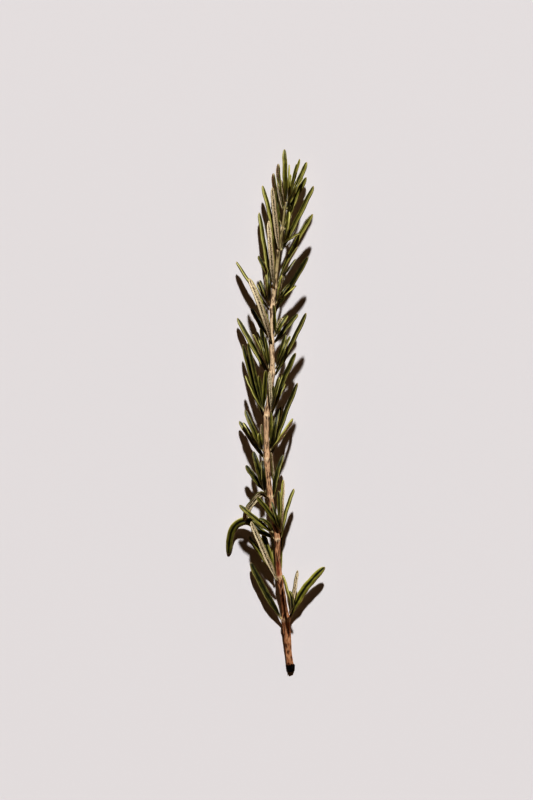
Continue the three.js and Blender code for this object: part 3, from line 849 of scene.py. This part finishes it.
# %% Grow the splinters
SPLINTER_COUNT = 11
SPLINTER_LENGTH = 2.3 * MM
SPLINTER_FOOT = 1.7 * MM  # how far up the stem a splinter is rooted
SPLINTER_THICKNESS = 0.16 * MM
SPLINTER_BOW = 0.08 * MM
SPLINTER_SINK = 0.6  # how much of the torn end's slope its foot follows
SNAG = 0.75 * MM  # how far the one on the right stands out
SNAG_SLANT = 0.2  # how far that one leans out past the wood, as a share of its reach
LOWEST_POINT = 0.2 * MM


def grow_splinter(number):
    splinter = copy_of(splinter_pattern, f"splinter_{number}")
    turn = 2 * math.pi * (number + random.uniform(-0.3, 0.3)) / SPLINTER_COUNT
    radius = stem_radius[0]
    outward = np.array([math.cos(turn), 0, math.sin(turn)])
    depth = random.uniform(0.4, 0.75)
    foot = stem_middle[0] + outward * radius * depth + np.array([0, SPLINTER_FOOT, 0])
    reach = SPLINTER_LENGTH * random.uniform(0.35, 1.0)
    end = foot + np.array([0, -reach, 0]) + outward * radius * random.uniform(-0.2, 0.35)
    if number == 0:
        end = foot + np.array([0, -SNAG_SLANT * reach, 0]) + outward * SNAG
    foot[2] *= 1 - TORN_SLOPE * SPLINTER_SINK
    end[2] = max(end[2] * (1 - TORN_SLOPE), LOWEST_POINT)
    line = np.array([foot, (foot + end) / 2 + outward * SPLINTER_BOW, end])
    width = random.uniform(0.22, 0.42) * MM
    placed = bend(splinter_shape, line, np.tile(outward, (3, 1)), width, SPLINTER_THICKNESS)
    placed[:, 1] = np.maximum(placed[:, 1], cad_low.y)
    place_corners(splinter, placed)
    mark(splinter, along=0.0, ridge=random.uniform(-0.5, 0.5), ring=0.0, torn=1.0, wound=0.0)
    return splinter


def join(pieces, name):
    bpy.ops.object.select_all(action="DESELECT")
    for piece in pieces:
        piece.select_set(True)
    bpy.context.view_layer.objects.active = pieces[0]
    if len(pieces) > 1:
        bpy.ops.object.join()
    pieces[0].name = pieces[0].data.name = name
    return pieces[0]


stem = join([stem, *(grow_splinter(i) for i in range(SPLINTER_COUNT))], "stem_bark")
print("stem", len(stem.data.polygons), "faces")

# %% [markdown]
# ## Finishes
#
# Painted textures would need the leaves unwrapped. Both finishes are made of nodes instead,
# and read what was stored on the points. A leaf is waxy and olive above, with painted shade
# that makes it nearly black along its groove and painted highlights that make its margins bright
# yellow-green. Below it is felted cream with a dark dotted midrib. Its base fades to a pale
# stalk and its tip to brown. The bark goes from red-brown over cream to green near the tip,
# with dark cracks between the ridges, pale worn patches at the whorls and a red scar above the
# second whorl. The torn end is near black, partly from its dark torn wood and partly from
# painted shade of the unlit end face and its shadow.


# %% A helper for finishes
class Finish(Wiring):
    """A material that is put together a few nodes at a time."""

    def __init__(self, name, roughness, gloss):
        self.material = bpy.data.materials.new(name)
        self.material.use_nodes = True
        super().__init__(self.material.node_tree)
        self.shader = self.tree.nodes["Principled BSDF"]
        self.shader.inputs["Roughness"].default_value = roughness
        self.shader.inputs["Specular IOR Level"].default_value = gloss

    def stored(self, name):
        return self.node("ShaderNodeAttribute", attribute_name=name).outputs["Fac"]

    def ramp(self, value, low, high, out_low=0.0, out_high=1.0):
        """Goes smoothly from one number to another while a value goes from low to high."""
        made = self.node("ShaderNodeMapRange", interpolation_type="SMOOTHSTEP")
        self.put(made.inputs["Value"], value)
        limits = {"From Min": low, "From Max": high, "To Min": out_low, "To Max": out_high}
        for name, number in limits.items():
            made.inputs[name].default_value = number
        return made.outputs[0]

    def blend(self, amount, a, b):
        made = self.node("ShaderNodeMix", data_type="RGBA")
        self.put(made.inputs["Factor"], amount)
        for socket, colour in ((made.inputs["A"], a), (made.inputs["B"], b)):
            self.put(socket, colour if isinstance(colour, bpy.types.NodeSocket) else (*colour, 1))
        return made.outputs["Result"]

    def speckle(self, scale, detail, stretch=(1, 1, 1)):
        """Soft noise; a stretch below one draws its spots out that way."""
        place = self.node("ShaderNodeMapping")
        self.put(place.inputs["Vector"], self.node("ShaderNodeTexCoord").outputs["Object"])
        place.inputs["Scale"].default_value = stretch
        made = self.node("ShaderNodeTexNoise")
        self.put(made.inputs["Vector"], place.outputs[0])
        made.inputs["Scale"].default_value = scale
        made.inputs["Detail"].default_value = detail
        return made.outputs["Fac"]

    def bump(self, height, distance):
        made = self.node("ShaderNodeBump")
        self.put(made.inputs["Height"], height)
        made.inputs["Distance"].default_value = distance
        self.put(self.shader.inputs["Normal"], made.outputs[0])


# %% Leaf colours
# painted shade: a near-black green that darkens the groove of the upper face
GROOVE_PAINTED_SHADE = (0.006, 0.006, 0.001)
DARK_OLIVE = (0.026, 0.025, 0.004)
OLIVE = (0.105, 0.099, 0.017)
YELLOW_GREEN = (0.235, 0.22, 0.042)
# painted highlight: a bright yellow-green that lightens the margins of the upper face
MARGIN_PAINTED_HIGHLIGHT = (0.42, 0.38, 0.14)
FELT = (0.64, 0.54, 0.38)
FELT_SHADE = (0.27, 0.2, 0.1)
UNDER_MIDRIB = (0.04, 0.028, 0.01)
STALK = (0.5, 0.42, 0.24)
BLOTCH_SCALE = 700  # all scales are about how many spots there are to a metre
PORE_SCALE = 5200
BEAD_SCALE = 2600


def blade_green(finish, blotch, lightness):
    """The green beside the midrib, which changes from leaf to leaf and along each one."""
    tone = finish.math("MULTIPLY", finish.stored("tone"), 0.6)
    mood = finish.math("ADD", tone, finish.math("MULTIPLY", blotch, 0.7))
    mood = finish.math("ADD", mood, lightness)
    green = finish.blend(finish.ramp(mood, 0.3, 0.75), DARK_OLIVE, OLIVE)
    return finish.blend(finish.ramp(mood, 0.7, 1.2), green, YELLOW_GREEN)


def upper_face(finish, blade, off_midrib, blotch, lightness):
    """The blade with painted shade along its groove and painted highlights on its margins."""
    groove = finish.math("ADD", off_midrib, finish.math("MULTIPLY", blotch, 0.3))
    # painted shade: the upper face is darkened towards near black along its groove
    colour = finish.blend(finish.ramp(groove, 0.25, 0.62, lightness * 0.7), GROOVE_PAINTED_SHADE, blade)
    # painted highlight: the margins of the upper face are brightened
    return finish.blend(finish.ramp(off_midrib, 0.7, 0.95, 0, 0.75), colour, MARGIN_PAINTED_HIGHLIGHT)


def under_face(finish, blade, off_midrib, pores):
    """Felt with a row of dark dots on the midrib, between two rolled green margins."""
    felt = finish.blend(finish.ramp(pores, 0.35, 0.6), FELT_SHADE, FELT)
    beads = finish.ramp(finish.speckle(BEAD_SCALE, 1), 0.6, 0.45, 0.3, 1.0)
    dots = finish.math("MULTIPLY", finish.ramp(off_midrib, 0.3, 0.16), beads)
    felt = finish.blend(dots, felt, UNDER_MIDRIB)
    return finish.blend(finish.ramp(off_midrib, 0.72, 0.88), felt, blade)


# %% Leaf finish
LEAF_ROUGHNESS = 0.5
LEAF_GLOSS = 0.3
LEAF_BUMP = 0.06 * MM
YOUNG_LIGHTNESS = 0.45


def leaf_finish(name, lightness):
    finish = Finish(name, LEAF_ROUGHNESS, LEAF_GLOSS)
    along, height = finish.stored("along"), finish.stored("height")
    off_midrib = finish.math("ABSOLUTE", finish.stored("across"))
    blotch, pores = finish.speckle(BLOTCH_SCALE, 3), finish.speckle(PORE_SCALE, 2)
    blade = blade_green(finish, blotch, lightness)
    above = upper_face(finish, blade, off_midrib, blotch, lightness)
    below = under_face(finish, blade, off_midrib, pores)
    colour = finish.blend(finish.ramp(height, -0.12, 0.06), below, above)
    colour = finish.blend(finish.ramp(along, 0.12, 0.0, 0, 0.8), colour, STALK)
    colour = finish.blend(finish.ramp(along, 0.965, 1.0, 0, 0.55), colour, FELT_SHADE)
    finish.put(finish.shader.inputs["Base Color"], colour)
    matte_below = finish.ramp(height, -0.3, 0.3, 0.85, 0.42)
    finish.put(finish.shader.inputs["Roughness"], matte_below)
    finish.bump(finish.math("ADD", pores, blotch), LEAF_BUMP)
    return finish.material


leaf_green = leaf_finish("leaf_green", 0.0)
young_green = leaf_finish("young_leaf_green", YOUNG_LIGHTNESS)
print("leaf finish", len(leaf_green.node_tree.nodes), "nodes")

# %% Bark finish
RED_BARK = (0.26, 0.11, 0.05)
TAN_BARK = (0.38, 0.205, 0.11)
CREAM_BARK = (0.58, 0.45, 0.3)
YOUNG_BARK = (0.2, 0.17, 0.07)
CRACK = (0.035, 0.014, 0.006)
WOUND = (0.14, 0.025, 0.01)
# the torn end's near black: partly its dark torn wood, partly painted shade of the unlit end face
# and its shadow
DARK_END_AND_PAINTED_SHADE = (0.004, 0.003, 0.003)
BARK_ROUGHNESS = 0.8
BARK_GLOSS = 0.15
BARK_BUMP = 0.12 * MM
STREAK_SCALE = 1500
FLECK_SCALE = 2600
GRAIN_SCALE = 4000


def bark_colour(finish, streaks):
    """Red-brown to cream to green along the stem, worn pale at the whorls, cracked all over."""
    along = finish.stored("along")
    flecks = finish.speckle(FLECK_SCALE, 2, stretch=(1, 0.4, 1))
    colour = finish.blend(finish.ramp(streaks, 0.35, 0.62), RED_BARK, TAN_BARK)
    colour = finish.blend(finish.ramp(along, 0.1, 0.85, 0, 0.8), colour, CREAM_BARK)
    colour = finish.blend(finish.ramp(along, 0.78, 0.9, 0, 0.85), colour, YOUNG_BARK)
    at_whorl = finish.ramp(finish.stored("ring"), 0.02, 0.5)
    worn = finish.math("MULTIPLY", at_whorl, finish.ramp(streaks, 0.4, 0.6, 0.1, 0.8))
    colour = finish.blend(worn, colour, CREAM_BARK)
    ridges = finish.math("MULTIPLY", finish.stored("ridge"), 0.3)
    colour = finish.blend(
        finish.ramp(finish.math("ADD", ridges, streaks), 0.47, 0.33, 0, 0.9), colour, CRACK
    )
    colour = finish.blend(finish.ramp(flecks, 0.42, 0.3, 0, 0.7), colour, CRACK)
    return finish.blend(finish.ramp(flecks, 0.64, 0.78, 0, 0.5), colour, CREAM_BARK)


def bark_finish():
    finish = Finish("bark", BARK_ROUGHNESS, BARK_GLOSS)
    streaks = finish.speckle(STREAK_SCALE, 5, stretch=(1, 0.35, 1))
    grain = finish.speckle(GRAIN_SCALE, 3, stretch=(1, 0.3, 1))
    colour = finish.blend(finish.stored("wound"), bark_colour(finish, streaks), WOUND)
    torn = finish.math("ADD", finish.stored("torn"), finish.math("MULTIPLY", streaks, 0.9))
    # the torn end and its splinters are painted near black: partly dark torn wood, partly painted
    # shade of the unlit end and its shadow
    colour = finish.blend(finish.ramp(torn, 0.66, 0.8), colour, DARK_END_AND_PAINTED_SHADE)
    finish.put(finish.shader.inputs["Base Color"], colour)
    finish.bump(finish.math("ADD", grain, streaks), BARK_BUMP)
    return finish.material


bark = bark_finish()
print("bark finish", len(bark.node_tree.nodes), "nodes")

# %% [markdown]
# ## Growing the sprig
#
# On the plant a side shoot is one twiglet, and a full-grown leaf drops by itself. So every
# frame leaf gets one bent copy, and the leaves of a side shoot are joined on their bud into one
# piece. Every small leaf could be kept apart too, but the frame holds a shoot as one node, and
# nobody picks its leaves singly.


# %% Grow
TIP_WHORL = "14"


def dress(piece, node, material):
    piece.data.materials.clear()
    piece.data.materials.append(material)
    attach(piece, "root")
    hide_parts(node)


dress(stem, "stem", bark)
pieces = [stem]
for node in leaf_nodes:
    grown = [grow_leaf(f"{node}_{i}", line) for i, line in enumerate(leaves_of[node])]
    if node in buds:
        ahead = np.mean([line["middle"][1] for line in leaves_of[node]], axis=0)
        grown.append(grow_bud(f"{node}_bud", buds[node], ahead))
    piece = join(grown, f"{node}_grown")
    at_tip = node.split("_")[1] == TIP_WHORL
    dress(piece, node, young_green if at_tip else leaf_green)
    pieces.append(piece)

for pattern in (leaf_pattern, bud_pattern, splinter_pattern):
    bpy.data.objects.remove(pattern, do_unlink=True)
for piece in pieces:
    piece.data.calc_loop_triangles()
print("pieces", len(pieces), "triangles", sum(len(p.data.loop_triangles) for p in pieces))
